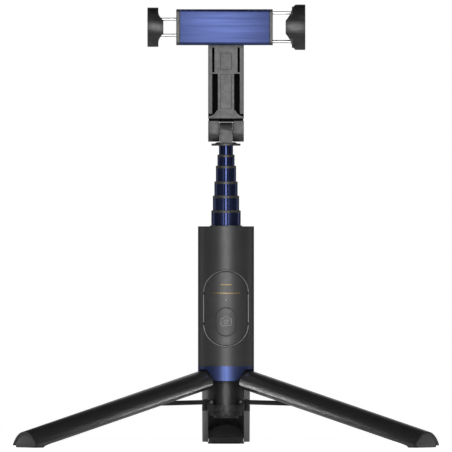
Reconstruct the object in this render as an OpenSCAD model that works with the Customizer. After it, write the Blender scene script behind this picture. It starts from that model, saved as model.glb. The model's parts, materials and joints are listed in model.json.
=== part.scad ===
// Selfie stick with a folding tripod, a six-tube column, a clip-in remote and a sprung phone clamp.
// Millimetres, +Z up. The origin is on the ground, on the axis of the column.
// The front is -Y. The tripod is drawn open and the clamp is drawn a little apart.

/* [Handle] */
// Outside diameter of the handle and of the folded legs
handle_d = 39.2; // [38.8:0.1:39.6]
// Height of the handle's lower edge above the ground
handle_z = 56.2; // [56:0.1:57]
// Length of the handle
handle_len = 97.8; // [92:0.1:104]
// Thickness of the handle's wall
handle_wall = 2.0; // [1.8:0.1:2.2]

/* [Remote] */
// Width of the remote
remote_w = 29.8; // [29:0.1:30]
// Height of the remote
remote_h = 51.2; // [48:0.1:52]
// Height of the remote's centre above the ground
remote_z = 96.5; // [95:0.1:98]
// Distance from the column's axis to the remote's face
remote_face = 18.5; // [18.4:0.1:18.8]
// Width of the shutter button
button_w = 14.0; // [12:0.1:15]
// Height of the shutter button
button_h = 19.3; // [17:0.1:20]

/* [Column] */
// Outside diameter of the thinnest tube
tube_first_d = 9.9; // [9.8:0.1:10]
// Outside diameter of the thickest tube
tube_last_d = 20.6; // [20.5:0.1:20.7]
// Wall of every tube
tube_wall = 0.45; // [0.4:0.05:0.5]
// Height of the ring at the mouth of every tube
ring_h = 1.8; // [1.5:0.1:2]
// How far the thickest tube stands out of the handle
rise_6 = 11.2; // [10:0.1:14]
// How far the fifth tube stands out of the sixth
rise_5 = 10.3; // [10:0.1:14]
// How far the fourth tube stands out of the fifth
rise_4 = 9.9; // [9:0.1:14]
// How far the third tube stands out of the fourth
rise_3 = 11.0; // [9:0.1:14]
// How far the second tube stands out of the third
rise_2 = 7.8; // [7:0.1:12]
// How far the thinnest tube stands out of the second
rise_1 = 6.2; // [6:0.1:12]

/* [Tripod] */
// Distance from the column's axis to a leg's hinge pin
hinge_r = 15.1; // [15:0.1:15.2]
// Height of the hinge pins above the ground
hinge_z = 49.73; // [49.7:0.01:49.8]
// Angle that a leg turns through when it folds
fold_angle = 73.6; // [73:0.1:74]
// Reach of an open leg from the column's axis
leg_reach = 162; // [155:1:165]
// Half of the arc that one leg takes of the circle
leg_half_arc = 59; // [57:0.5:59]
// Thickness of a strut, seen from the side
strut_t = 3.2; // [2.6:0.1:3.4]

/* [Head] */
// Height of the tilt axis above the ground
tilt_z = 220; // [219.5:0.1:220.5]
// Radius of the tilt knuckle
knuckle_r = 6.8; // [6.4:0.1:7]
// Width of the head's arm
arm_w = 25; // [24:0.1:26]

/* [Clamp] */
// Height of the swivel axis above the ground
swivel_z = 293.2; // [293:0.1:294]
// Height of the clamp's bar
bar_h = 25.1; // [24:0.1:26]
// Depth of the clamp's bar from front to back
bar_depth = 11.8; // [11.4:0.1:12]
// Left end of the bar's metal sleeve
bar_left = -32.2; // [-33:0.1:-31]
// Right end of the bar's metal sleeve
bar_right = 30.5; // [30:0.1:32]
// Diameter of the jaws' rods
rod_d = 2.1; // [2:0.1:2.2]

/* [Hidden] */
$fn = 96;
EPS = 0.02;
RUN = 0.06;      // radial clearance of anything that turns or slides in a bore

handle_r = handle_d / 2;
handle_bore = handle_r - handle_wall;
handle_top = handle_z + handle_len;

// Telescoping column: tube 1 is the thinnest, tube 6 the thickest.
TUBES = 6;
rise = [rise_1, rise_2, rise_3, rise_4, rise_5, rise_6];
function tube_r(k) = (tube_first_d + (tube_last_d - tube_first_d) * (k - 1) / (TUBES - 1)) / 2;
function tube_top(k) = k == TUBES ? handle_top + rise[k - 1] : tube_top(k + 1) + rise[k - 1];
function drop_to(k) = k > TUBES ? 0 : drop_to(k + 1) + rise[k - 1] - ring_h;
nest_z = 30;                                     // every tube's lower end when the column is collapsed
function tube_low(k) = nest_z + drop_to(k);
groove_r = 1.9;                                  // radius of the round groove along a tube
groove_depth = 0.55;
glide_h = 8;

column_r = 11.2;                                 // sleeve that the thickest tube slides in
column_wall = 0.6;
column_low = 21.4;
column_top = handle_top - 4.8;

// Dock in the handle, and the remote's layers from front to back
dock_w = remote_w + 2.6;
dock_h = remote_h + 3.1;
dock_front = -17.9;
dock_back = -10.6;
dock_floor = -11.4;
dock_floor_t = 0.7;
dome_r = 26;                                     // the remote's face is part of a cylinder this large
shell_t = 1;
button_z = remote_z - 9.3;
light_z = remote_z + 5.9;
button_back = -15.7;
board_y = -15.1;
board_t = 0.5;
board_w = 18.8;
remote_split_y = -13.7;
remote_back_y = -12.2;

// Tripod
AZ_LEFT = 210;
AZ_RIGHT = 330;
AZ_BACK = 90;
AZIMUTHS = [AZ_LEFT, AZ_RIGHT, AZ_BACK];
pin_r = 1.25;
pin_half = 8.4;
collar_low = 45.85;
notch_low_half = 11.8;                           // half width of the collar's opening for a leg's root, below
notch_roof_half = 5.4;                           // and under its roof
notch_roof = 53.9;
hub_notch_half = 5.3;
hub_roof = 54.6;
root_cut = 44.6;                                 // upper edge of a folded leg
root_corner = 3;                                 // radius of the corners of a leg's root
tab_half = 5.0;
tab_r = 3.7;
leg_bore = 17.4;
rail_bore = 14.5;
rail_half = 12.6;
foot_half = 12.4;
foot_heel = leg_reach - 18.5;
foot_flat = leg_reach - 10.5;
sole_h = 1.1;
slot_x = hinge_r - 1.85;                         // middle of the strut's slot, folded
slot_half = 2.1;
slot_near = 59.8;                                // slot's ends, measured from the hinge along the leg
slot_far = 70.2;
lug_in = 2.4;
lug_out = 4.2;
runner_low = 24.7;
runner_high = 29;
strut_pin_r = 1.0;
strut_in_r = 14.4;                               // strut's inner pin from the column's axis
strut_in_z = 31;
strut_out_along = 61.5;                          // strut's outer pin along the open leg
strut_out_x = hinge_r - 2.6;
strut_half = 2.0;
open_c = cos(fold_angle);
open_s = sin(fold_angle);
strut_out_r = hinge_r + open_c * (strut_out_x - hinge_r) + open_s * strut_out_along;
strut_out_z = hinge_z + open_s * (strut_out_x - hinge_r) - open_c * strut_out_along;
strut_dip = atan2(strut_in_z - strut_out_z, strut_out_r - strut_in_r);
strut_len = norm([strut_out_r - strut_in_r, strut_in_z - strut_out_z]);

// Head
disc_r = 10.15;
disc_z = 210.4;
disc_t = 1.5;
tongue_half = 4.4;
ear_in = 5.1;
bolt_r = 2.0;
arm_half = arm_w / 2;
arm_y = knuckle_r;
plate_t = 2;
stud_r = 3.0;

// Clamp
bar_back = -7.2;
bar_mid_y = bar_back - bar_depth / 2;
bar_round = 2.4;
bar_wall = 0.9;
core_gap = 0.65;                                 // between the sleeve's wall and the carrier inside it
cap_t_left = 2.6;
cap_t_right = 2.2;
rod_r = rod_d / 2;
rod_gap_left = 5.6;
rod_gap_right = 10;
wire_r = 0.15;
coil_r = rod_r + 0.05 + wire_r;
jaw_left_in = -43.8;
jaw_left_out = -54.9;
jaw_right_in = 41.7;
jaw_right_out = 55.4;
jaw_front = -33;
grip_front = -30.6;                              // groove that holds the phone's edge
grip_back = -19.6;
pad_left_back = -47.4;
pad_left_face = -44.8;
pad_right_back = 46.4;
pad_right_face = 43.0;

SATIN = [0.24, 0.24, 0.25];
BLACK = [0.12, 0.12, 0.13];
BLUE = [0.38, 0.44, 0.70];
STEEL = [0.75, 0.76, 0.78];

// ---- shared shapes ----

// Upright capsule outline, w wide and h high, drawn in X and Y
module capsule_2d(w, h) {
    for (s = [-1, 1]) translate([0, s * (h - w) / 2]) circle(d = w);
    square([w, h - w], center = true);
}

// Capsule plate on the front, from depth y_front to y_back, centred at height z
module front_capsule(w, h, z, y_front, y_back) {
    translate([0, y_back, z]) rotate([90, 0, 0]) linear_extrude(y_back - y_front) capsule_2d(w, h);
}

module ring(r_out, r_in, z0, z1) {
    difference() {
        translate([0, 0, z0]) cylinder(r = r_out, h = z1 - z0);
        translate([0, 0, z0 - 1]) cylinder(r = r_in, h = z1 - z0 + 2);
    }
}

module rod_x(r, x0, x1, y, z) {
    translate([x0, y, z]) rotate([0, 90, 0]) cylinder(r = r, h = x1 - x0);
}

module rod_y(r, y0, y1, x, z) {
    translate([x, y0, z]) rotate([-90, 0, 0]) cylinder(r = r, h = y1 - y0);
}

module block(low, high) {
    translate(low) cube(high - low);
}

// ---- handle ----

module handle_shell() {
    color(SATIN) difference() {
        union() {
            ring(handle_r, handle_bore, handle_z, handle_top);
            ring(handle_bore + EPS, column_r + 0.05, handle_z, handle_z + 2.5);
            ring(handle_bore + EPS, column_r + 0.05, handle_top - 3, handle_top);
        }
        front_capsule(dock_w, dock_h, remote_z, -handle_d, dock_back);
    }
}

module top_bushing() {
    color(BLACK) difference() {
        union() {
            translate([0, 0, column_top]) cylinder(r = 13, h = handle_top - 3 - column_top);
            translate([0, 0, column_top]) cylinder(r = column_r + 0.05, h = handle_top - column_top + 0.6);
        }
        translate([0, 0, column_top - 1]) cylinder(r = tube_r(TUBES) + RUN, h = 10);
    }
}

// Tray that the remote clips into: a round-faced rim, a thin floor, and four notches for the clips
module dock_bezel() {
    notch_y = -12.6;
    notch_z = 10.7;
    color(BLACK) difference() {
        intersection() {
            front_capsule(dock_w, dock_h, remote_z, dock_front, dock_back);
            remote_dome(dome_r - remote_face - dock_front);
        }
        front_capsule(remote_w + 0.4, remote_h + 0.4, remote_z, dock_front - 1, dock_floor - dock_floor_t);
        front_capsule(remote_w - 4, remote_h - 4, remote_z, dock_floor, dock_back + 1);
        for (s = [-1, 1], t = [-1, 1])
            translate([s * dock_w / 2, notch_y, remote_z + t * notch_z])
                cube([1.4, 3, 1.2], center = true);
        translate([0, 0, column_low]) cylinder(r = column_r + 0.1, h = column_top - column_low);
    }
}

// Inner sleeve, with two engraved lines and an engraved ring on its front
module column_tube() {
    line_w = 0.4;
    line_d = 0.25;
    mark_r = 2.65;
    color(BLACK) difference() {
        ring(column_r, column_r - column_wall, column_low, column_top);
        for (s = [-1, 1])
            block([s * 1.05 - line_w / 2, -column_r - 1, column_low - 1],
                  [s * 1.05 + line_w / 2, -column_r + line_d, handle_z]);
        difference() {
            rod_y(mark_r, -column_r - 1, -column_r + line_d + 0.35, 0, 37.5);
            rod_y(mark_r - line_w, -column_r - 2, -column_r + 1, 0, 37.5);
        }
        socket_void();
    }
}

// Square socket through the front of the column's foot
module socket_void() {
    socket = 2.8;
    block([-socket / 2, -column_r - 1, column_low + 0.1], [socket / 2, -8, column_low + 0.1 + socket]);
}

// Plug under the column
module column_end_cap() {
    color(BLACK) difference() {
        union() {
            translate([0, 0, column_low - 1.6]) cylinder(r = 8.7, h = 1.7);
            translate([0, 0, column_low]) cylinder(r = column_r - column_wall - 0.02, h = 5);
        }
        translate([0, 0, column_low + 1.2]) cylinder(r = 8.2, h = 10);
        socket_void();
    }
}

// Blue collar with an opening for each leg's root
module leg_collar() {
    color(BLUE) difference() {
        ring(handle_r, handle_bore - 0.05, collar_low, handle_z);
        for (a = AZIMUTHS) rotate([0, 0, a]) {
            collar_notch();
            hinge_pin();
        }
    }
}

// Opening in the collar for a leg's root at azimuth 0, wider below
module collar_notch() {
    below = 1;
    flare = (notch_low_half - notch_roof_half) * below / (notch_roof - collar_low);
    low_half = notch_low_half + flare;
    translate([10, 0, 0]) rotate([90, 0, 90]) linear_extrude(handle_r)
        polygon([[-low_half, collar_low - below], [low_half, collar_low - below],
            [notch_roof_half, notch_roof], [-notch_roof_half, notch_roof]]);
}

// Solid hub on the column that carries the legs' hinge pins
module leg_hub() {
    color(BLACK) difference() {
        ring(handle_bore - 0.05, column_r + 0.02, collar_low + 0.3, handle_z);
        for (a = AZIMUTHS) rotate([0, 0, a]) {
            block([0, -hub_notch_half, collar_low - 1], [handle_r, hub_notch_half, hub_roof]);
            hinge_pin();
        }
    }
}

module hinge_pin() {
    translate([hinge_r, pin_half, hinge_z]) rotate([90, 0, 0]) cylinder(r = pin_r, h = 2 * pin_half);
}

module leg_hinge_pins() {
    color(STEEL) for (a = AZIMUTHS) rotate([0, 0, a]) hinge_pin();
}

// ---- remote ----

module button_outline_2d(grow = 0) {
    capsule_2d(button_w + 2 * grow, button_h + 2 * grow);
}

// Upright cylinder of radius r on the axis of the remote's round face
module remote_dome(r) {
    translate([0, -remote_face + dome_r, remote_z - remote_h]) cylinder(r = r, h = 2 * remote_h);
}

// Front cover, with a round face, the button's opening and the light's hole
module remote_front() {
    color(SATIN) difference() {
        intersection() {
            front_capsule(remote_w, remote_h, remote_z, -remote_face - 1, remote_split_y);
            remote_dome(dome_r);
        }
        intersection() {
            front_capsule(remote_w - 2 * shell_t, remote_h - 2 * shell_t, remote_z, -remote_face, 0);
            remote_dome(dome_r - 1.2);
        }
        translate([0, 0, button_z]) rotate([90, 0, 0]) linear_extrude(2 * remote_face)
            button_outline_2d(0.12);
        rod_y(0.45, -remote_face - 1, 0, 0, light_z);
    }
}

// Back cover, with the round wall that holds the coin cell
module remote_back() {
    color(BLACK) difference() {
        front_capsule(remote_w, remote_h, remote_z, remote_split_y, remote_back_y);
        front_capsule(remote_w - 2 * shell_t, remote_h - 2 * shell_t, remote_z,
            remote_split_y - 1, remote_back_y - 0.6);
    }
}

// Button with a flange behind the cover and a pocket over the switch
module shutter_button() {
    color(SATIN) difference() {
        intersection() {
            translate([0, button_back, button_z]) rotate([90, 0, 0]) union() {
                linear_extrude(remote_face + 0.1 + button_back) button_outline_2d();
                linear_extrude(0.3) button_outline_2d(0.6);
            }
            remote_dome(dome_r + 0.1);
        }
        rod_y(3.4, button_back - 0.4, button_back + 1, 0, button_z);
    }
}

module remote_board() {
    color("darkgreen") front_capsule(board_w, remote_h - 5, remote_z, board_y, board_y + board_t);
}

// Dome switch under the button
module board_switch() {
    color(STEEL) translate([0, board_y, button_z]) rotate([90, 0, 0]) cylinder(r1 = 3, r2 = 1.8, h = 0.5);
}

module coin_cell() {
    cell_front = board_y + board_t + 0.1;
    color(STEEL) rod_y(10, cell_front, cell_front + 1.6, 0, remote_z - 6);
}

module status_light() {
    color("lightgreen") rod_y(0.4, -remote_face + 0.1, board_y, 0, light_z);
}

// ---- tripod ----

// Turns a folded leg's shape, hanging at azimuth 0, out to its open place
module opened(azimuth) {
    rotate([0, 0, azimuth]) translate([hinge_r, 0, hinge_z]) rotate([0, -fold_angle, 0])
        translate([-hinge_r, 0, -hinge_z]) children();
}

module leg_sector_2d(half) {
    polygon([[0, 0], [40 * cos(half), -40 * sin(half)], [40, -40 * sin(half)],
        [40, 40 * sin(half)], [40 * cos(half), 40 * sin(half)]]);
}

module leg_section_2d() {
    intersection() {
        leg_sector_2d(leg_half_arc);
        difference() {
            circle(handle_r);
            circle(rail_bore);
            difference() {
                circle(leg_bore);
                for (s = [-1, 1]) translate([0, s * (rail_half + 20)]) square(40, center = true);
            }
        }
    }
}

// Inclined side view of the foot: reach along X, height along Y
module foot_side_2d() {
    polygon([[leg_reach - 0.3, sole_h], [foot_flat, sole_h], [foot_heel, sole_h + 3.2],
        [foot_heel + 3.5, 20], [leg_reach - 0.3, 20]]);
}

module upright(az, half) {
    rotate([0, 0, az]) translate([0, half, 0]) rotate([90, 0, 0]) linear_extrude(2 * half) children();
}

// Leg: a third of a tube with side rails, a hinge tab, and two slotted lugs for the strut
module leg(az) {
    leg_end = hinge_z - leg_reach;
    color(BLACK) intersection() {
        opened(az) difference() {
            union() {
                translate([0, 0, leg_end]) linear_extrude(root_cut - leg_end) leg_section_2d();
                hinge_tab();
                for (m = [0, 1]) mirror([0, m, 0]) slot_lug();
            }
            rotate([90, 0, 0]) translate([hinge_r, hinge_z, -20]) cylinder(r = pin_r + RUN, h = 40);
            for (m = [0, 1]) mirror([0, m, 0]) root_corner_cut();
        }
        rotate([0, 0, az]) block([-30, -30, sole_h + 0.2], [leg_reach, 30, 70]);
    }
}

// Takes the square corner off the root of a leg's rail
module root_corner_cut() {
    edge_y = handle_r * sin(leg_half_arc);
    translate([0, edge_y - root_corner, root_cut - root_corner]) rotate([0, 90, 0])
        linear_extrude(30) difference() {
            translate([-root_corner - 1, 0]) square([root_corner + 1, root_corner + 2]);
            circle(root_corner);
        }
}

// Ear in the middle of the leg's root that turns on the hinge pin
module hinge_tab() {
    intersection() {
        translate([0, 0, 20]) cylinder(r = handle_r, h = 40);
        translate([0, tab_half, 0]) rotate([90, 0, 0]) linear_extrude(2 * tab_half) union() {
            translate([hinge_r, hinge_z]) circle(tab_r);
            polygon([[hinge_r, hinge_z], [handle_r, hinge_z], [handle_r, 40], [leg_bore, 40],
                [leg_bore - 1, root_cut], [hinge_r - 2.6, hinge_z - 2.6]]);
        }
    }
}

// One of the two plates under the leg that guide the strut's outer pin
module slot_lug() {
    low = hinge_z - slot_far - 3;
    high = hinge_z - slot_near + 3;
    mid_near = hinge_z - slot_near - slot_half;
    mid_far = hinge_z - slot_far + slot_half;
    y0 = lug_in;
    difference() {
        block([slot_x - slot_half - 1.5, y0, low], [leg_bore + 0.6, y0 + lug_out - lug_in, high]);
        for (z = [mid_near, mid_far])
            translate([slot_x, y0 - 1, z]) rotate([-90, 0, 0]) cylinder(r = slot_half, h = 4);
        block([slot_x - slot_half, y0 - 1, mid_far], [slot_x + slot_half, y0 + 4, mid_near]);
    }
}

module leg_left() { leg(AZ_LEFT); }
module leg_right() { leg(AZ_RIGHT); }
module leg_back() { leg(AZ_BACK); }

// Foot: fills the end of the leg's channel and ends in a flat sole
module foot(az) {
    sole_half = foot_half + 0.6;
    sole_edge = 0.4;
    foot_half_arc = leg_half_arc - 2;
    color(SATIN) intersection() {
        union() {
            intersection() {
                opened(az) translate([0, 0, hinge_z - leg_reach]) linear_extrude(40) circle(leg_bore - 0.02);
                upright(az, foot_half) foot_side_2d();
            }
            upright(az, sole_half) polygon([[leg_reach - sole_edge, sole_edge],
                [leg_reach - 2 * sole_edge, 0], [foot_flat + sole_edge, 0], [foot_flat, sole_edge],
                [foot_flat, sole_h + EPS], [leg_reach - sole_edge, sole_h + EPS]]);
        }
        opened(az) translate([0, 0, hinge_z - leg_reach]) linear_extrude(40) leg_sector_2d(foot_half_arc);
    }
}

module foot_left() { foot(AZ_LEFT); }
module foot_right() { foot(AZ_RIGHT); }
module foot_back() { foot(AZ_BACK); }

// Runner: slides on the column and pushes the three struts. A key in front stands between two slots.
module runner() {
    wall_r = 13.9;
    key_half = 1.6;
    slot_w = 1.2;
    slot_y = -12.6;
    color(BLACK) difference() {
        union() {
            difference() {
                translate([0, 0, runner_low]) cylinder(r = wall_r, h = runner_high - runner_low);
                block([-key_half - slot_w, -20, runner_low - 1],
                      [key_half + slot_w, slot_y, runner_high - 1.2]);
            }
            block([-key_half, -wall_r - 0.3, runner_low - 2.5], [key_half, slot_y + 0.9, runner_high - 0.6]);
            for (a = AZIMUTHS) rotate([0, 0, a]) runner_lobe();
        }
        translate([0, 0, runner_low - 5]) cylinder(r = column_r + RUN, h = 20);
        for (a = AZIMUTHS) rotate([0, 0, a]) {
            block([12.4, -strut_half - 0.15, runner_low - 1], [20, strut_half + 0.15, 40]);
            strut_pin();
        }
    }
}

module runner_lobe() {
    lobe_half = 5.5;
    lug_r = 2.1;
    block([12, -lobe_half, runner_low + 0.2], [16.2, lobe_half, runner_high - 0.2]);
    translate([strut_in_r, lug_out, strut_in_z]) rotate([90, 0, 0]) cylinder(r = lug_r, h = 2 * lug_out);
    block([strut_in_r - lug_r + 0.2, -lug_out, runner_low + 1],
          [strut_in_r + lug_r - 0.2, lug_out, strut_in_z]);
}

module strut_pin() {
    translate([strut_in_r, lug_out, strut_in_z]) rotate([90, 0, 0])
        cylinder(r = strut_pin_r, h = 2 * lug_out);
}

module strut_pins() {
    color(STEEL) for (a = AZIMUTHS) rotate([0, 0, a]) strut_pin();
}

// Strut between the runner and a leg, with an eye at each end
module strut(az) {
    eye_r = strut_t / 2 + 0.2;
    color(BLACK) rotate([0, 0, az]) translate([strut_in_r, strut_half, strut_in_z]) rotate([90, strut_dip, 0])
        linear_extrude(2 * strut_half) difference() {
            union() {
                circle(eye_r);
                translate([strut_len, 0]) circle(eye_r);
                translate([0, -strut_t / 2]) square([strut_len, strut_t]);
            }
            circle(strut_pin_r + RUN);
            translate([strut_len, 0]) circle(strut_pin_r);
        }
}

module strut_left() { strut(AZ_LEFT); }
module strut_right() { strut(AZ_RIGHT); }
module strut_back() { strut(AZ_BACK); }

// Pin pressed in the strut's outer eye, which runs in the leg's slots
module slot_pin(az) {
    color(STEEL) rotate([0, 0, az]) translate([strut_out_r, lug_out, strut_out_z]) rotate([90, 0, 0])
        cylinder(r = strut_pin_r, h = 2 * lug_out);
}

module slot_pin_left() { slot_pin(AZ_LEFT); }
module slot_pin_right() { slot_pin(AZ_RIGHT); }
module slot_pin_back() { slot_pin(AZ_BACK); }

// ---- column tubes ----

module tube(k) {
    r = tube_r(k);
    low = tube_low(k);
    top = tube_top(k) - (k == 1 ? 0 : ring_h);
    groove_y = -(r + groove_r - groove_depth);
    color(BLUE) difference() {
        translate([0, 0, low]) cylinder(r = r, h = top - low);
        difference() {
            translate([0, 0, low - 1]) cylinder(r = r - tube_wall, h = top - low + 2);
            translate([0, groove_y, low - 2]) cylinder(r = groove_r + tube_wall, h = top - low + 4);
        }
        translate([0, groove_y, low - 2]) cylinder(r = groove_r, h = top - low + 4);
    }
}

// Room for the ridge that the groove makes inside tube k
module ridge_room(k, z0, z1) {
    translate([0, -(tube_r(k) + groove_r - groove_depth), z0])
        cylinder(r = groove_r + tube_wall + 0.12, h = z1 - z0);
}

// Ring round the lower end of tube k, running in the tube or sleeve outside it
module glide(k) {
    outside = k == TUBES ? column_r - column_wall : tube_r(k + 1) - tube_wall;
    low = tube_low(k);
    difference() {
        ring(outside - RUN, tube_r(k), low, low + glide_h);
        if (k < TUBES) ridge_room(k + 1, low - 1, low + glide_h + 1);
    }
}

// Ring at the mouth of tube k, with a skirt inside it, that guides the next thinner tube
module mouth_ring(k) {
    top = tube_top(k);
    inner = tube_r(k - 1) + RUN;
    skirt = 6;
    difference() {
        union() {
            translate([0, 0, top - ring_h]) cylinder(r = tube_r(k), h = ring_h - 0.35);
            translate([0, 0, top - 0.35]) cylinder(r1 = tube_r(k), r2 = tube_r(k) - 0.35, h = 0.35);
            difference() {
                translate([0, 0, top - ring_h - skirt])
                    cylinder(r = tube_r(k) - tube_wall - EPS, h = skirt + EPS);
                ridge_room(k, top - ring_h - skirt - 1, top - ring_h);
            }
        }
        translate([0, 0, top - ring_h - skirt - 1]) cylinder(r = inner, h = skirt + ring_h + 2);
    }
}

module bushings(k) {
    color(BLACK) {
        glide(k);
        mouth_ring(k);
    }
}

module tube_1() { tube(1); }
module tube_2() { tube(2); }
module tube_3() { tube(3); }
module tube_4() { tube(4); }
module tube_5() { tube(5); }
module tube_6() { tube(6); }
module tube_1_glide() { color(BLACK) glide(1); }
module tube_2_bushings() { bushings(2); }
module tube_3_bushings() { bushings(3); }
module tube_4_bushings() { bushings(4); }
module tube_5_bushings() { bushings(5); }
module tube_6_bushings() { bushings(6); }

// ---- head ----

// Plug in the top tube with a disc and the tilt tongue
module head_base() {
    color(SATIN) difference() {
        union() {
            translate([0, 0, disc_z - 12]) cylinder(r = 3.8, h = 13);
            translate([0, 0, disc_z]) cylinder(r = disc_r, h = disc_t);
            translate([0, 0, disc_z + disc_t - EPS]) cylinder(r1 = 8.2, r2 = 6.2, h = 1);
            block([-tongue_half, -knuckle_r, disc_z + disc_t - EPS], [tongue_half, knuckle_r, tilt_z]);
            rod_x(knuckle_r, -tongue_half, tongue_half, 0, tilt_z);
        }
        rod_x(bolt_r + RUN, -10, 10, 0, tilt_z);
    }
}

// Tilt bolt with a round slotted head on the right
module tilt_bolt() {
    color(STEEL) difference() {
        union() {
            rod_x(bolt_r, -arm_half + 1.2, arm_half - 1.2, 0, tilt_z);
            rod_x(3.6, arm_half - 1.6, arm_half - 0.3, 0, tilt_z);
        }
        block([arm_half - 1.0, -0.4, tilt_z - 5], [arm_half, 0.4, tilt_z + 5]);
    }
}

module tilt_nut() {
    color(STEEL) difference() {
        translate([-arm_half + 0.4, 0, tilt_z]) rotate([0, 90, 0]) cylinder(r = 3.6, h = 2.2, $fn = 6);
        rod_x(bolt_r, -arm_half - 1, 0, 0, tilt_z);
    }
}

// Two plastic washers between the tongue and the ears
module tilt_washers() {
    color(BLACK) for (s = [-1, 1]) difference() {
        mirror([s > 0 ? 0 : 1, 0, 0]) rod_x(knuckle_r - 0.15, tongue_half + 0.06, ear_in, 0, tilt_z);
        rod_x(bolt_r, -10, 10, 0, tilt_z);
    }
}

// Arm between the tilt joint and the clamp's swivel: two ears, two rails, a spine and a back plate
module head_arm() {
    rail_w = 2.9;
    ear_high = tilt_z + 7.7;
    web_low = tilt_z + 9.4;
    groove_in = 2.5;                             // depth of the groove across the front, above the ears
    rail_low = tilt_z + 12.6;
    web_high = tilt_z + 15.2;
    rib_z = tilt_z + 40.6;
    rib_t = 1.3;
    panel_half = 3.8;
    panel_d = 0.35;
    spine_low = 5.75;
    spine_high = 8.15;
    flare_r = 6.4;
    head_z = swivel_z - 14;
    rail_in = arm_half - rail_w;
    color(SATIN) difference() {
        union() {
            for (m = [0, 1]) mirror([m, 0, 0]) {
                block([ear_in, -arm_y, tilt_z], [arm_half, arm_y, ear_high]);
                rod_x(arm_y, ear_in, arm_half, 0, tilt_z);
                block([ear_in, -arm_y + groove_in, ear_high - 0.1], [arm_half - 0.3, arm_y, web_low + 0.1]);
                block([rail_in, -arm_y, rail_low], [arm_half, arm_y, head_z]);
            }
            block([-ear_in - 1, 1, tilt_z + knuckle_r + 0.2], [ear_in + 1, arm_y, web_low + 0.1]);
            web(web_low, web_high, flare_r);
            block([-arm_half, arm_y - plate_t, web_low], [arm_half, arm_y, head_z]);
            block([-rail_in - 0.2, -arm_y, rib_z], [rail_in + 0.2, arm_y, rib_z + rib_t]);
            block([-spine_low, -arm_y, web_high - 1], [spine_low, arm_y, rib_z + 0.2]);
            block([-spine_high, -arm_y, rib_z + rib_t - 0.2], [spine_high, arm_y, head_z]);
            block([-arm_half, -arm_y, head_z - 0.2], [arm_half, arm_y, swivel_z]);
            rod_y(arm_half, -arm_y, arm_y, 0, swivel_z);
        }
        rod_x(bolt_r, -20, 20, 0, tilt_z);
        rod_x(3.7, arm_half - 1.6, arm_half + 1, 0, tilt_z);
        translate([-arm_half - 1, 0, tilt_z]) rotate([0, 90, 0]) cylinder(r = 3.65, h = 3.6, $fn = 6);
        rod_y(stud_r + RUN, -20, 20, 0, swivel_z);
        rod_y(6.2, arm_y - 3, arm_y + 1, 0, swivel_z);
        block([-panel_half, -arm_y - 1, web_high + 1], [panel_half, -arm_y + panel_d, rib_z - 0.4]);
        block([-panel_half, -arm_y - 1, rib_z + 3.2], [panel_half, -arm_y + panel_d, head_z - 4]);
    }
}

// Bell-shaped web at the foot of the arm, with hollow shoulders
module web(z0, z1, r) {
    difference() {
        block([-arm_half, -arm_y, z0], [arm_half, arm_y, z1]);
        for (s = [-1, 1]) translate([s * (arm_half + 0.2), -20, z1 + 2.2]) rotate([-90, 0, 0])
            cylinder(r = r, h = 20 + arm_y - plate_t);
    }
}

// Stud that carries the clamp on the arm, with a low head behind the arm
module swivel_stud() {
    color(STEEL) union() {
        rod_y(stud_r, -10.6, arm_y - 1.2, 0, swivel_z);
        rod_y(5.4, arm_y - 1.6, arm_y - 0.3, 0, swivel_z);
    }
}

module swivel_washer() {
    color(BLACK) difference() {
        rod_y(9, bar_back + 0.04, -arm_y - 0.02, 0, swivel_z);
        rod_y(stud_r + 0.02, -20, 20, 0, swivel_z);
    }
}

// ---- clamp ----

// Cross-section of the bar, depth along X and height along Y, with rounded corners
module bar_2d(shrink = 0) {
    r = max(bar_round - shrink, 0.6);
    dx = bar_depth / 2 - shrink - r;
    dy = bar_h / 2 - shrink - r;
    union() {
        for (s = [-1, 1], t = [-1, 1]) translate([s * dx, t * dy]) circle(r);
        square([2 * dx, 2 * (dy + r)], center = true);
        square([2 * (dx + r), 2 * dy], center = true);
    }
}

module bar_along(x0, x1, shrink = 0) {
    translate([x0, bar_mid_y, swivel_z]) rotate([90, 0, 90]) linear_extrude(x1 - x0) bar_2d(shrink);
}

module rod_bores(gap, r, x0, x1) {
    for (s = [-1, 1]) rod_x(r, x0, x1, bar_mid_y, swivel_z + s * gap);
}

// Blue extruded sleeve
module clamp_sleeve() {
    color(BLUE) difference() {
        bar_along(bar_left, bar_right);
        bar_along(bar_left - 1, bar_right + 1, bar_wall);
        rod_y(stud_r + 0.02, bar_mid_y, 0, 0, swivel_z);
    }
}

module clamp_cap_left() {
    color(SATIN) difference() {
        bar_along(bar_left - cap_t_left, bar_left - 0.01);
        rod_bores(rod_gap_left, rod_r + RUN, -60, 0);
    }
}

module clamp_cap_right() {
    color(SATIN) difference() {
        bar_along(bar_right + 0.01, bar_right + cap_t_right);
        rod_bores(rod_gap_right, rod_r + RUN, 0, 60);
    }
}

// Carrier inside the sleeve, bored for the rods and their springs
module clamp_core() {
    coil_bore = coil_r + wire_r + 0.1;
    color(BLACK) difference() {
        bar_along(bar_left + 0.3, bar_right - 0.3, bar_wall + core_gap);
        rod_bores(rod_gap_left, coil_bore, bar_left, 21);
        rod_bores(rod_gap_right, coil_bore, -22, bar_right);
        rod_y(stud_r + 0.02, -10.7, 0, 0, swivel_z);
    }
}

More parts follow.
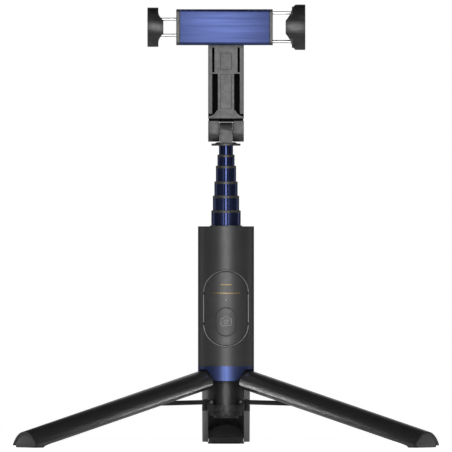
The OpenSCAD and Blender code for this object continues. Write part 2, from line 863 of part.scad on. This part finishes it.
// Front view of a jaw, from its outer side at 0 inwards: a plate, a step, and a nose with hollow shoulders
module jaw_front_2d(plate_w, plate_h, step_w, step_h, nose_w, nose_half, shoulder_half) {
    step_x = plate_w + step_w;
    nose_x = step_x + nose_w;
    hollow = 0.6;
    chord = norm([nose_w, shoulder_half - nose_half]);
    hollow_r = chord * chord / (8 * hollow) + hollow / 2;
    mid = [(step_x + nose_x) / 2, (shoulder_half + nose_half) / 2];
    centre = mid + [shoulder_half - nose_half, nose_w] / chord * (hollow_r - hollow);
    slope = (plate_h - step_h) / 2;
    translate([0, -plate_h / 2]) square([plate_w, plate_h]);
    polygon([[plate_w - 1, -plate_h / 2], [plate_w, -plate_h / 2], [plate_w + slope, -step_h / 2],
        [step_x, -step_h / 2], [step_x, step_h / 2], [plate_w + slope, step_h / 2],
        [plate_w, plate_h / 2], [plate_w - 1, plate_h / 2]]);
    difference() {
        polygon([[step_x - 1, -shoulder_half], [step_x, -shoulder_half], [nose_x, -nose_half],
            [nose_x, nose_half], [step_x, shoulder_half], [step_x - 1, shoulder_half]]);
        for (t = [-1, 1]) translate([centre.x, t * centre.y]) circle(hollow_r);
    }
}

// Side view of a jaw: round in front, square behind, with depth along X
module jaw_side_2d(height) {
    r = height / 2;
    corner = 3;
    translate([jaw_front + r, 0]) circle(r);
    translate([jaw_front + r, -r]) square([bar_back - corner - jaw_front - r, height]);
    translate([jaw_front + r, -r + corner]) square([bar_back - jaw_front - r, height - 2 * corner]);
    for (t = [-1, 1]) translate([bar_back - corner, t * (r - corner)]) circle(corner);
}

module jaw_blank(outer_x, inwards, plate_w, plate_h, step_w, step_h, nose_w, nose_half, shoulder_half) {
    translate([outer_x, 0, swivel_z]) mirror([inwards < 0 ? 1 : 0, 0, 0]) intersection() {
        translate([0, bar_back, 0]) rotate([90, 0, 0]) linear_extrude(bar_back - jaw_front)
            jaw_front_2d(plate_w, plate_h, step_w, step_h, nose_w, nose_half, shoulder_half);
        rotate([90, 0, 90]) linear_extrude(plate_w + step_w + nose_w) jaw_side_2d(plate_h);
    }
}

// Left jaw: its nose has a groove across it that holds the phone's edge on a pad
module left_jaw() {
    color(BLACK) difference() {
        jaw_blank(jaw_left_out, 1, 7.6, 27.4, 0, 27.4, jaw_left_in - jaw_left_out - 7.6, 4.6, 10.3);
        rod_bores(rod_gap_left, rod_r, jaw_left_out + 3, 0);
        block([pad_left_back, grip_front, swivel_z - 20], [0, grip_back, swivel_z + 20]);
    }
}

module right_jaw() {
    color(BLACK) difference() {
        jaw_blank(jaw_right_out, -1, 6.8, 31.7, 2.5, 28.7, jaw_right_out - jaw_right_in - 9.3, 4.5, 13);
        rod_bores(rod_gap_right, rod_r, 0, jaw_right_out - 3);
        block([0, grip_front, swivel_z - 20], [pad_right_back, grip_back, swivel_z + 20]);
    }
}

// Soft liners where the phone is gripped
module left_jaw_pad() {
    color(BLACK) block([pad_left_back + 0.01, grip_front + 0.05, swivel_z - 5.8],
                       [pad_left_face, grip_back - 0.05, swivel_z + 5.8]);
}

module right_jaw_pad() {
    color(BLACK) block([pad_right_face, grip_front + 0.05, swivel_z - 6.2],
                       [pad_right_back - 0.01, grip_back - 0.05, swivel_z + 6.2]);
}

// Two rods with a flat head inside the bar, and the jaw on their other end
module left_jaw_rods() {
    color(STEEL) for (s = [-1, 1]) {
        rod_x(rod_r, jaw_left_out + 3, 6.4, bar_mid_y, swivel_z + s * rod_gap_left);
        rod_x(coil_r + wire_r, 6, 7.4, bar_mid_y, swivel_z + s * rod_gap_left);
    }
}

module right_jaw_rods() {
    color(STEEL) for (s = [-1, 1]) {
        rod_x(rod_r, -8.4, jaw_right_out - 3, bar_mid_y, swivel_z + s * rod_gap_right);
        rod_x(coil_r + wire_r, -9.4, -8, bar_mid_y, swivel_z + s * rod_gap_right);
    }
}

// Coil spring along X as one swept square wire
module coil(x0, x1, y, z, turns) {
    sides = 4;
    arc_steps = 9;
    steps = turns * arc_steps;
    points = [for (i = [0 : steps], j = [0 : sides - 1])
        let (a = 360 * i / arc_steps, b = 360 * j / sides, r = coil_r + wire_r * cos(b))
        [x0 + wire_r + (x1 - x0 - 2 * wire_r) * i / steps + wire_r * sin(b), y + r * cos(a), z + r * sin(a)]];
    walls = [for (i = [0 : steps - 1], j = [0 : sides - 1])
        let (k = (j + 1) % sides)
        [i * sides + j, i * sides + k, (i + 1) * sides + k, (i + 1) * sides + j]];
    ends = [[for (j = [sides - 1 : -1 : 0]) j], [for (j = [0 : sides - 1]) steps * sides + j]];
    polyhedron(points, concat(walls, ends));
}

module left_springs() {
    color(STEEL) for (s = [-1, 1])
        coil(bar_left + 0.4, 5.9, bar_mid_y, swivel_z + s * rod_gap_left, 14);
}

module right_springs() {
    color(STEEL) for (s = [-1, 1])
        coil(-7.9, bar_right - 0.4, bar_mid_y, swivel_z + s * rod_gap_right, 14);
}

handle_shell();
top_bushing();
dock_bezel();
column_tube();
column_end_cap();
leg_collar();
leg_hub();
leg_hinge_pins();
remote_front();
remote_back();
shutter_button();
remote_board();
board_switch();
coin_cell();
status_light();
runner();
strut_pins();
strut_left();
strut_right();
strut_back();
slot_pin_left();
slot_pin_right();
slot_pin_back();
leg_left();
leg_right();
leg_back();
foot_left();
foot_right();
foot_back();
tube_1();
tube_2();
tube_3();
tube_4();
tube_5();
tube_6();
tube_1_glide();
tube_2_bushings();
tube_3_bushings();
tube_4_bushings();
tube_5_bushings();
tube_6_bushings();
head_base();
tilt_bolt();
tilt_nut();
tilt_washers();
head_arm();
swivel_stud();
swivel_washer();
clamp_sleeve();
clamp_cap_left();
clamp_cap_right();
clamp_core();
left_jaw();
left_jaw_pad();
left_jaw_rods();
right_jaw();
right_jaw_pad();
right_jaw_rods();
left_springs();
right_springs();
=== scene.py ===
"""Looks of the selfie stick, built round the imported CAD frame. Metres, +Z up, the front is -Y."""

import json
import math

import bmesh
import bpy
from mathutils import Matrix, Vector


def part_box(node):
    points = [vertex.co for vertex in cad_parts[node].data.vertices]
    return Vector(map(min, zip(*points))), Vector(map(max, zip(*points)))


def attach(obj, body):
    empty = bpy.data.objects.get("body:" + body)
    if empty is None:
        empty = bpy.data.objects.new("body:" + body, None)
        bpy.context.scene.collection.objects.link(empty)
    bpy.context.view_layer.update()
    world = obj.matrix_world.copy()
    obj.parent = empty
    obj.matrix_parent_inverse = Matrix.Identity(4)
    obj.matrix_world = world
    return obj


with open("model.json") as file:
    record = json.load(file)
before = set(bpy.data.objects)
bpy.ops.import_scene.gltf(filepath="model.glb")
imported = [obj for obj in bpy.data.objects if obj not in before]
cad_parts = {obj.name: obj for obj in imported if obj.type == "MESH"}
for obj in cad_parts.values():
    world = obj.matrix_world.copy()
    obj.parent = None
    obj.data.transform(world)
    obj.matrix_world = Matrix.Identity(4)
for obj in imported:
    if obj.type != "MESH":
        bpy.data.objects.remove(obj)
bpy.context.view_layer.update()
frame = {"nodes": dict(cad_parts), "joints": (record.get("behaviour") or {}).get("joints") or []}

MM = 0.001
NODES = frame["nodes"]
LEGS = ("left", "right", "back")
REMOTE_AXIS_Y = 7.5     # depth of the axis of the remote's round face, in millimetres
REMOTE_R = 26           # radius of that face
FLANGE = 0.6            # how far the button's hidden flange stands out past its visible outline
ARM_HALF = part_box("head_arm")[1][0] / MM
ARM_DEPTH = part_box("head_arm")[1][1] / MM
HANDLE_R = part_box("handle_shell")[1][0] / MM
TILT_Z = next(j for j in frame["joints"] if j["name"] == "head_tilt")["pos_m"][2] / MM


# ---- material helpers ----

class Shader:
    """A Principled material with a few shorthand calls for its procedural detail."""

    def __init__(self, name, colour, roughness, metallic=0.0, axis_y=None):
        self.mat = bpy.data.materials.new(name)
        self.mat.use_nodes = True
        self.tree = self.mat.node_tree
        self.bsdf = self.tree.nodes["Principled BSDF"]
        self.bsdf.inputs["Metallic"].default_value = metallic
        self.bsdf.inputs["Roughness"].default_value = roughness
        self.bsdf.inputs["Base Color"].default_value = (*colour, 1)
        self.colour = colour
        self.roughness = roughness
        self.coords = self.tree.nodes.new("ShaderNodeTexCoord")
        self.height = None if axis_y is None else self.round_normal(axis_y)
        if self.height is not None:
            self.link(self.height, self.bsdf.inputs["Normal"])

    def link(self, a, b):
        self.tree.links.new(a, b)

    def round_normal(self, axis_y):
        """Smooth normal of an upright cylinder whose axis stands at depth axis_y, in millimetres."""
        source = self.coords.outputs["Object"]
        steps = (("SUBTRACT", (0, axis_y * MM, 0)), ("MULTIPLY", (1, 1, 0)), ("NORMALIZE", None))
        for operation, value in steps:
            node = self.tree.nodes.new("ShaderNodeVectorMath")
            node.operation = operation
            self.link(source, node.inputs[0])
            if value is not None:
                node.inputs[1].default_value = value
            source = node.outputs["Vector"]
        turn = self.tree.nodes.new("ShaderNodeVectorTransform")
        turn.vector_type = "NORMAL"
        turn.convert_from = "OBJECT"
        turn.convert_to = "WORLD"
        self.link(source, turn.inputs["Vector"])
        return turn.outputs["Vector"]

    def mapped(self, scale):
        """Object coordinates stretched by scale, per metre."""
        node = self.tree.nodes.new("ShaderNodeMapping")
        node.inputs["Scale"].default_value = scale
        self.link(self.coords.outputs["Object"], node.inputs["Vector"])
        return node.outputs["Vector"]

    def noise(self, scale, detail=3.0, rough=0.55, stretch=(1, 1, 1)):
        node = self.tree.nodes.new("ShaderNodeTexNoise")
        node.inputs["Scale"].default_value = scale
        node.inputs["Detail"].default_value = detail
        node.inputs["Roughness"].default_value = rough
        self.link(self.mapped(stretch), node.inputs["Vector"])
        return node.outputs["Fac"]

    def cells(self, scale, stretch=(1, 1, 1)):
        node = self.tree.nodes.new("ShaderNodeTexVoronoi")
        node.inputs["Scale"].default_value = scale
        self.link(self.mapped(stretch), node.inputs["Vector"])
        return node.outputs["Distance"]

    def ramp(self, source, low, high, start=0.3, end=0.7):
        """Maps source from start..end to low..high, for numbers."""
        node = self.tree.nodes.new("ShaderNodeMapRange")
        node.inputs["From Min"].default_value = start
        node.inputs["From Max"].default_value = end
        node.inputs["To Min"].default_value = low
        node.inputs["To Max"].default_value = high
        self.link(source, node.inputs["Value"])
        return node.outputs["Result"]

    def tint(self, source, spread, start=0.3, end=0.7):
        """Base colour that varies by +-spread of itself with source."""
        ramp = self.tree.nodes.new("ShaderNodeValToRGB")
        ramp.color_ramp.elements[0].position = start
        ramp.color_ramp.elements[1].position = end
        ramp.color_ramp.elements[0].color = (*[c * (1 - spread) for c in self.colour], 1)
        ramp.color_ramp.elements[1].color = (*[min(1, c * (1 + spread)) for c in self.colour], 1)
        self.link(source, ramp.inputs["Fac"])
        self.link(ramp.outputs["Color"], self.bsdf.inputs["Base Color"])

    def gloss(self, source, spread, start=0.3, end=0.7):
        """Roughness that varies by +-spread with source."""
        low, high = self.roughness - spread, self.roughness + spread
        self.link(self.ramp(source, low, high, start, end), self.bsdf.inputs["Roughness"])

    def bump(self, source, distance, strength=1.0):
        """Adds a bump of that height, in metres, on top of earlier ones."""
        node = self.tree.nodes.new("ShaderNodeBump")
        node.inputs["Distance"].default_value = distance
        node.inputs["Strength"].default_value = strength
        self.link(source, node.inputs["Height"])
        if self.height is not None:
            self.link(self.height, node.inputs["Normal"])
        self.height = node.outputs["Normal"]
        self.link(self.height, self.bsdf.inputs["Normal"])


def moulded_plastic(name, colour, roughness=0.45, grain=2600, depth=0.00002, specular=0.5, axis_y=None):
    """Spark-eroded moulded plastic: a fine pebbled grain and faint blotches in colour and gloss."""
    s = Shader(name, colour, roughness, axis_y=axis_y)
    s.bsdf.inputs["Specular IOR Level"].default_value = specular
    s.tint(s.noise(90, 4), 0.07)
    s.gloss(s.noise(400, 3), 0.05)
    s.bump(s.cells(grain), depth, 0.5)
    s.bump(s.noise(grain * 0.4, 2), depth, 0.4)
    return s.mat


def anodised(name, colour, roughness=0.34, grain_axis=2, metallic=0.9, depth=0.000006, axis_y=None):
    """Anodised aluminium: fine draw lines along one axis under a dyed oxide layer."""
    stretch = [1.0, 1.0, 1.0]
    stretch[grain_axis] = 0.02
    s = Shader(name, colour, roughness, metallic, axis_y)
    s.tint(s.noise(1500, 3, stretch=stretch), 0.06)
    s.gloss(s.noise(700, 3, stretch=stretch), 0.05)
    s.bump(s.noise(3500, 2, stretch=stretch), depth, 0.5)
    s.bump(s.cells(5200), depth, 0.35)
    return s.mat


def bare_metal(name, colour, roughness=0.22, grain_axis=0):
    """Ground and nickel-plated steel, with faint lines along one axis."""
    stretch = [1.0, 1.0, 1.0]
    stretch[grain_axis] = 0.05
    s = Shader(name, colour, roughness, 1.0)
    s.tint(s.noise(600, 3), 0.05)
    s.gloss(s.noise(900, 3, stretch=stretch), 0.06)
    s.bump(s.noise(4000, 2, stretch=stretch), 0.000004, 0.5)
    return s.mat


def soft_rubber(name, colour, roughness=0.72):
    """Matte rubber with a coarse grain and a dusty bloom."""
    s = Shader(name, colour, roughness)
    s.bsdf.inputs["Specular IOR Level"].default_value = 0.4
    s.bsdf.inputs["Sheen Weight"].default_value = 0.15
    s.bsdf.inputs["Sheen Roughness"].default_value = 0.5
    s.tint(s.noise(200, 5), 0.12)
    s.gloss(s.noise(500, 3), 0.06)
    s.bump(s.cells(1800), 0.00004, 0.6)
    return s.mat


PLASTIC = moulded_plastic("handle_plastic", (0.024, 0.024, 0.024), 0.41)
ARM_PLASTIC = moulded_plastic("arm_plastic", (0.034, 0.034, 0.034), 0.42)
# Near-black, barely glossy copy of the arm's plastic: painted shade for the arm's deep slots, not a
# different plastic
RECESS_SHADE = moulded_plastic("recess_painted_shade", (0.004, 0.004, 0.004), 0.85, specular=0.08)
DARK_PLASTIC = moulded_plastic("dark_plastic", (0.012, 0.012, 0.012), 0.45, specular=0.35)
LEG_PLASTIC = moulded_plastic("leg_plastic", (0.008, 0.008, 0.008), 0.34, specular=0.5)
JAW_PLASTIC = moulded_plastic("jaw_plastic", (0.014, 0.014, 0.014), 0.38)
RING_PLASTIC = moulded_plastic("ring_plastic", (0.030, 0.031, 0.027), 0.42)
HANDLE_ROUND = moulded_plastic("handle_round", (0.026, 0.026, 0.026), 0.42, axis_y=0)
REMOTE_EDGE = moulded_plastic("remote_edge", (0.020, 0.020, 0.020), 0.42, grain=4200, depth=0.00001)
REMOTE_FACE = moulded_plastic("remote_face", (0.026, 0.026, 0.026), 0.40, grain=4200, depth=0.00001,
                              axis_y=REMOTE_AXIS_Y)
COLLAR_ROUND = anodised("collar_round", (0.050, 0.070, 0.180), 0.38, axis_y=0)
BEZEL = moulded_plastic("dock_rim", (0.008, 0.008, 0.008), 0.45, grain=4200, depth=0.00001, specular=0.2)
TRIM = moulded_plastic("dock_trim", (0.13, 0.13, 0.13), 0.32, grain=4200, depth=0.000005)
COLUMN = anodised("column_black", (0.040, 0.040, 0.041), 0.42, metallic=0.8)
COLLAR_BLUE = anodised("collar_blue", (0.052, 0.073, 0.188), 0.36)
TUBE_BLUE = anodised("tube_blue", (0.050, 0.066, 0.172), 0.26)
CLAMP_BLUE = anodised("clamp_blue", (0.045, 0.062, 0.166), 0.45, grain_axis=0)
STRUT_PAINT = moulded_plastic("strut_paint", (0.012, 0.012, 0.012), 0.34)
STEEL = bare_metal("plated_steel", (0.62, 0.63, 0.65))
CELL = bare_metal("cell_steel", (0.72, 0.72, 0.72), 0.18)
FOOT = soft_rubber("foot_rubber", (0.026, 0.026, 0.026))
PAD = soft_rubber("pad_rubber", (0.020, 0.020, 0.020))
BOARD = moulded_plastic("solder_mask", (0.01, 0.09, 0.035), 0.3, specular=0.6)
LIGHT_PIPE = moulded_plastic("light_pipe", (0.42, 0.46, 0.42), 0.2)
GOLD = bare_metal("gold_print", (0.20, 0.15, 0.075), 0.40)
PRINT = moulded_plastic("grey_print", (0.15, 0.15, 0.15), 0.5, grain=4200, depth=0.000005)

CAD_LOOKS = {
    PLASTIC: ["handle_shell"],
    DARK_PLASTIC: ["leg_hub", "column_end_cap", "remote_back", "clamp_core", "swivel_washer", "runner",
                   "tilt_washers"],
    RING_PLASTIC: ["top_bushing", "tube_1_glide"] + [f"tube_{k}_bushings" for k in range(2, 7)],
    BEZEL: ["dock_bezel"],
    COLUMN: ["column_tube"],
    COLLAR_BLUE: ["leg_collar"],
    TUBE_BLUE: [f"tube_{k}" for k in range(1, 7)],
    CLAMP_BLUE: ["clamp_sleeve"],
    REMOTE_EDGE: ["remote_front", "shutter_button"],
    LEG_PLASTIC: [f"leg_{s}" for s in LEGS],
    FOOT: [f"foot_{s}" for s in LEGS],
    STRUT_PAINT: [f"strut_{s}" for s in LEGS],
    ARM_PLASTIC: ["head_arm", "head_base", "clamp_cap_left", "clamp_cap_right"],
    JAW_PLASTIC: ["left_jaw", "right_jaw"],
    PAD: ["left_jaw_pad", "right_jaw_pad"],
    STEEL: ["leg_hinge_pins", "strut_pins", "tilt_bolt", "tilt_nut", "swivel_stud",
            "left_jaw_rods", "right_jaw_rods", "left_springs", "right_springs", "board_switch"]
           + [f"slot_pin_{s}" for s in LEGS],
    CELL: ["coin_cell"],
    BOARD: ["remote_board"],
    LIGHT_PIPE: ["status_light"],
}


def dress(node, material):
    mesh = NODES[node].data
    mesh.materials.clear()
    mesh.materials.append(material)
    for face in mesh.polygons:
        face.material_index = 0


# Radius of the rounded edges of each visible CAD node, in millimetres
EDGE_ROUND = {
    "handle_shell": 0.5, "dock_bezel": 0.35, "column_end_cap": 0.3, "leg_collar": 0.3,
    "remote_front": 0.45, "remote_back": 0.3, "shutter_button": 0.25, "runner": 0.3,
    "head_base": 0.35, "head_arm": 0.35, "clamp_sleeve": 0.2, "clamp_cap_left": 0.45,
    "clamp_cap_right": 0.45, "left_jaw": 0.8, "right_jaw": 0.8, "left_jaw_pad": 0.5,
    "right_jaw_pad": 0.5, "tilt_bolt": 0.2, "tilt_nut": 0.2, "swivel_stud": 0.3, "top_bushing": 0.2,
    **{f"leg_{s}": 0.7 for s in LEGS}, **{f"foot_{s}": 0.4 for s in LEGS},
    **{f"strut_{s}": 0.3 for s in LEGS},
}


def round_edges(node, radius, segments=3):
    """Rounds a CAD node's sharp edges with modifiers, which leave its own mesh as it was imported."""
    o = NODES[node]
    weld = o.modifiers.new("weld", "WELD")
    weld.merge_threshold = 0.000002
    flat = o.modifiers.new("flat", "DECIMATE")
    flat.decimate_type = "DISSOLVE"
    flat.angle_limit = math.radians(0.4)
    bevel = o.modifiers.new("round", "BEVEL")
    bevel.width = radius * MM
    bevel.segments = segments
    bevel.limit_method = "ANGLE"
    bevel.angle_limit = math.radians(32)
    bevel.use_clamp_overlap = True
    bevel.harden_normals = True
    for face in o.data.polygons:
        face.use_smooth = True


def dress_where(node, material, inside):
    """Gives material to the node's faces whose middle passes the test inside(x, y, z), in millimetres."""
    mesh = NODES[node].data
    mesh.materials.append(material)
    for face in mesh.polygons:
        if inside(*(face.center / MM)):
            face.material_index = len(mesh.materials) - 1


def dress_round(node, material, radius, axis_y=0, slack=0.15):
    """Gives material to the node's faces that lie on an upright cylinder and face away from its axis."""
    mesh = NODES[node].data
    mesh.materials.append(material)
    for face in mesh.polygons:
        out = Vector((face.center.x, face.center.y - axis_y * MM, 0))
        if abs(out.length / MM - radius) < slack and out.normalized().dot(face.normal) > 0.95:
            face.material_index = len(mesh.materials) - 1


def in_painted_recess_shade(x, y, z):
    """The slots beside the arm's spine, behind its front rim, which get painted shade."""
    return abs(x) < ARM_HALF - 0.2 and -ARM_DEPTH + 1 < y < ARM_DEPTH - 1 and z > TILT_Z + 7.8


for look, names in CAD_LOOKS.items():
    for name in names:
        dress(name, look)
# Paints shade onto the faces deep in the arm's slots with that near-black material
dress_where("head_arm", RECESS_SHADE, in_painted_recess_shade)
dress_round("handle_shell", HANDLE_ROUND, HANDLE_R)
dress_round("leg_collar", COLLAR_ROUND, HANDLE_R)
dress_round("remote_front", REMOTE_FACE, REMOTE_R, REMOTE_AXIS_Y)
dress_round("shutter_button", REMOTE_FACE, REMOTE_R, REMOTE_AXIS_Y)
for name, radius in EDGE_ROUND.items():
    round_edges(name, radius)


# ---- details that lie on the CAD surfaces ----

def new_piece(name, mesh, material, body):
    o = bpy.data.objects.new(name, mesh)
    bpy.context.scene.collection.objects.link(o)
    mesh.materials.append(material)
    for face in mesh.polygons:
        face.use_smooth = True
    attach(o, body)
    return o


def face_y(node, x, z):
    """Depth of a node's front surface at x and z, in metres."""
    hit, place, _, _ = NODES[node].ray_cast(Vector((x, -0.1, z)), Vector((0, 1, 0)))
    if not hit:
        raise RuntimeError(f"nothing of {node} at {x}, {z}")
    return place.y


def arc(cx, cz, r, start, end, steps=16):
    """Points round a circle in the X-Z plane, angles in degrees from +X towards +Z."""
    angles = [math.radians(start + (end - start) * i / steps) for i in range(steps + 1)]
    return [(cx + r * math.cos(a), cz + r * math.sin(a)) for a in angles]


def refine(points, step, closed):
    """Adds points so that no stretch is longer than step."""
    out = []
    pairs = list(zip(points, points[1:] + points[:1])) if closed else list(zip(points, points[1:]))
    for (x0, z0), (x1, z1) in pairs:
        n = max(1, math.ceil(math.hypot(x1 - x0, z1 - z0) / step))
        out += [(x0 + (x1 - x0) * i / n, z0 + (z1 - z0) * i / n) for i in range(n)]
    return out if closed else out + [points[-1]]


def inlay(name, points, width, height, node, material, body, closed=False, step=0.4, sink=0.05):
    """A low rounded strip that follows points, in millimetres, over the front of a CAD node."""
    path = refine(points, step, closed)
    count = len(path)
    profile = [(-0.5, -sink), (-0.5, 0.55 * height), (-0.32, height), (0.32, height), (0.5, 0.55 * height),
               (0.5, -sink)]
    bm = bmesh.new()
    rows = []
    for i, (x, z) in enumerate(path):
        before = path[i - 1] if closed or i else path[i]
        after = path[(i + 1) % count] if closed or i < count - 1 else path[i]
        along = Vector((after[0] - before[0], after[1] - before[1])).normalized()
        across = Vector((-along.y, along.x))
        row = []
        for side, lift in profile:
            px, pz = x + across.x * side * width, z + across.y * side * width
            y = face_y(node, x * MM, z * MM) / MM - lift
            row.append(bm.verts.new((px * MM, y * MM, pz * MM)))
        rows.append(row)
    pairs = list(zip(rows, rows[1:] + rows[:1])) if closed else list(zip(rows, rows[1:]))
    sides = len(profile)
    for a, b in pairs:
        for j in range(sides):
            k = (j + 1) % sides
            bm.faces.new((a[j], a[k], b[k], b[j]))
    if not closed:
        bm.faces.new(rows[0][::-1])
        bm.faces.new(rows[-1])
    bmesh.ops.recalc_face_normals(bm, faces=bm.faces)
    mesh = bpy.data.meshes.new(name)
    bm.to_mesh(mesh)
    bm.free()
    return new_piece(name, mesh, material, body)


def camera_sign(cx, cz, w=7.4, h=5.0, bump=1.2, corner=1.0):
    """Outline of a plain camera: a rounded box with a low hump on top."""
    left, right, low, high = cx - w / 2, cx + w / 2, cz - h / 2, cz + h / 2
    body = (arc(left + corner, low + corner, corner, 270, 180, 5)
            + arc(left + corner, high - corner, corner, 180, 90, 5)
            + [(cx - w * 0.24, high), (cx - w * 0.14, high + bump), (cx + w * 0.14, high + bump),
               (cx + w * 0.24, high)]
            + arc(right - corner, high - corner, corner, 90, 0, 5)
            + arc(right - corner, low + corner, corner, 0, -90, 5))
    inlay("sign_outline", body, 0.5, 0.03, "shutter_button", PRINT, "button", closed=True)
    lens = arc(cx, cz + 0.1, 1.25, 0, 360, 24)[:-1]
    inlay("sign_lens", lens, 0.5, 0.03, "shutter_button", PRINT, "button", closed=True)


def dock_trim():
    """Bright lip round the dock, in four lengths between the notches for the clips."""
    low, high = (c / MM for c in (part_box("dock_bezel")[0][2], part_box("dock_bezel")[1][2]))
    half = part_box("dock_bezel")[1][0] / MM
    inset = 0.62
    r = half - inset
    middle = (low + high) / 2
    top, bottom = high - half, low + half
    notch_near, notch_far = 9.9, 11.5
    runs = {
        "top": [(r, middle + notch_far)] + arc(0, top, r, 0, 180, 40) + [(-r, middle + notch_far)],
        "bottom": [(-r, middle - notch_far)] + arc(0, bottom, r, 180, 360, 40) + [(r, middle - notch_far)],
        "left": [(-r, middle - notch_near), (-r, middle + notch_near)],
        "right": [(r, middle - notch_near), (r, middle + notch_near)],
    }
    for side, points in runs.items():
        inlay(f"dock_trim_{side}", points, 0.85, 0.25, "dock_bezel", TRIM, "handle")


def remote_marks():
    """The camera sign on the button, a dark strip painted round it as the shade of its gap, and two plain
    gilt bars above the light.
    """
    button_low, button_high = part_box("shutter_button")
    button_mid = (button_low[2] + button_high[2]) / 2 / MM
    remote_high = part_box("remote_front")[1][2] / MM
    camera_sign(0, button_mid)
    flange_r = button_high[0] / MM
    rise = (button_high[2] - button_low[2]) / 2 / MM - flange_r
    rim = flange_r - FLANGE + 0.35
    outline = arc(0, button_mid + rise, rim, 0, 180, 24) + arc(0, button_mid - rise, rim, 180, 360, 24)
    # A near-flat dark strip on the remote's face: painted shade for the gap round the button
    inlay("button_gap_painted_shade", outline, 0.42, 0.01, "remote_front", BEZEL, "remote", closed=True)
    for name, drop, half in (("gilt_bar_short", 9.0, 4.2), ("gilt_bar_long", 14.9, 10.0)):
        z = remote_high - drop
        inlay(name, [(-half, z), (half, z)], 0.7, 0.03, "remote_front", GOLD, "remote")


dock_trim()
remote_marks()


# ---- floor, lights and camera ----

def make_floor(radius=1.0, segments=96):
    bm = bmesh.new()
    bmesh.ops.create_circle(bm, cap_ends=True, segments=segments, radius=radius)
    bmesh.ops.translate(bm, verts=bm.verts, vec=(0, 0, -0.0002))
    mesh = bpy.data.meshes.new("floor")
    bm.to_mesh(mesh)
    bm.free()
    floor = bpy.data.objects.new("floor", mesh)
    bpy.context.scene.collection.objects.link(floor)
    s = Shader("pale_floor", (0.85, 0.85, 0.85), 0.9)
    s.bsdf.inputs["Emission Color"].default_value = (1, 1, 1, 1)
    path = s.tree.nodes.new("ShaderNodeLightPath")
    s.link(s.ramp(path.outputs["Is Camera Ray"], 0.10, 0.88, 0, 1), s.bsdf.inputs["Emission Strength"])
    s.tint(s.noise(12, 3), 0.01)
    mesh.materials.append(s.mat)


def softbox(name, place, aim, width, height, power, spread=180):
    """Rectangular light that is not seen itself. The spread is in degrees."""
    light = bpy.data.lights.new(name, "AREA")
    light.shape = "RECTANGLE"
    light.size = width
    light.size_y = height
    light.energy = power
    light.spread = math.radians(spread)
    o = bpy.data.objects.new(name, light)
    o.location = place
    o.rotation_euler = (Vector(aim) - Vector(place)).to_track_quat("-Z", "Y").to_euler()
    o.visible_camera = False
    bpy.context.scene.collection.objects.link(o)


def make_world(seen=1.0, lighting=0.008):
    """A white backdrop for the camera, and a dim room for everything else."""
    world = bpy.data.worlds.new("studio")
    bpy.context.scene.world = world
    world.use_nodes = True
    tree = world.node_tree
    background = tree.nodes["Background"]
    background.inputs["Color"].default_value = (lighting, lighting, lighting, 1)
    white = tree.nodes.new("ShaderNodeBackground")
    white.inputs["Color"].default_value = (seen, seen, seen, 1)
    path = tree.nodes.new("ShaderNodeLightPath")
    mix = tree.nodes.new("ShaderNodeMixShader")
    tree.links.new(path.outputs["Is Camera Ray"], mix.inputs["Fac"])
    tree.links.new(background.outputs["Background"], mix.inputs[1])
    tree.links.new(white.outputs["Background"], mix.inputs[2])
    tree.links.new(mix.outputs["Shader"], tree.nodes["World Output"].inputs["Surface"])


def make_camera():
    """A long lens level with the middle of the stick, as a product picture is taken."""
    view_width = 0.3164
    view_middle = 0.1542
    lens = 1500
    sensor = 36
    data = bpy.data.cameras.new("camera")
    data.lens = lens
    data.sensor_width = sensor
    distance = view_width * lens / sensor
    data.clip_start = 0.1
    data.clip_end = 100
    camera = bpy.data.objects.new("camera", data)
    camera.location = (0, -distance, view_middle)
    camera.rotation_euler = (math.radians(90), 0, 0)
    bpy.context.scene.collection.objects.link(camera)
    bpy.context.scene.camera = camera


make_floor()
make_world()
make_camera()
softbox("front", (0, -1.6, 0.15), (0, 0, 0.17), 0.9, 1.3, 29)
softbox("left_high", (-0.95, -0.62, 1.4), (0, 0, -0.06), 0.32, 0.32, 0.19, spread=14)
softbox("right_high", (0.95, -0.62, 1.4), (0, 0, -0.06), 0.32, 0.32, 0.19, spread=14)
softbox("left_rim", (-1.5, 0.8, 0.15), (0, 0, 0.14), 0.6, 1.2, 1.4)
softbox("right_rim", (1.5, 0.8, 0.15), (0, 0, 0.14), 0.6, 1.2, 1.4)
softbox("back", (0.3, 1.8, 0.7), (0, 0, 0.17), 1.6, 0.8, 2.6)
bpy.context.scene.view_settings.view_transform = "Standard"
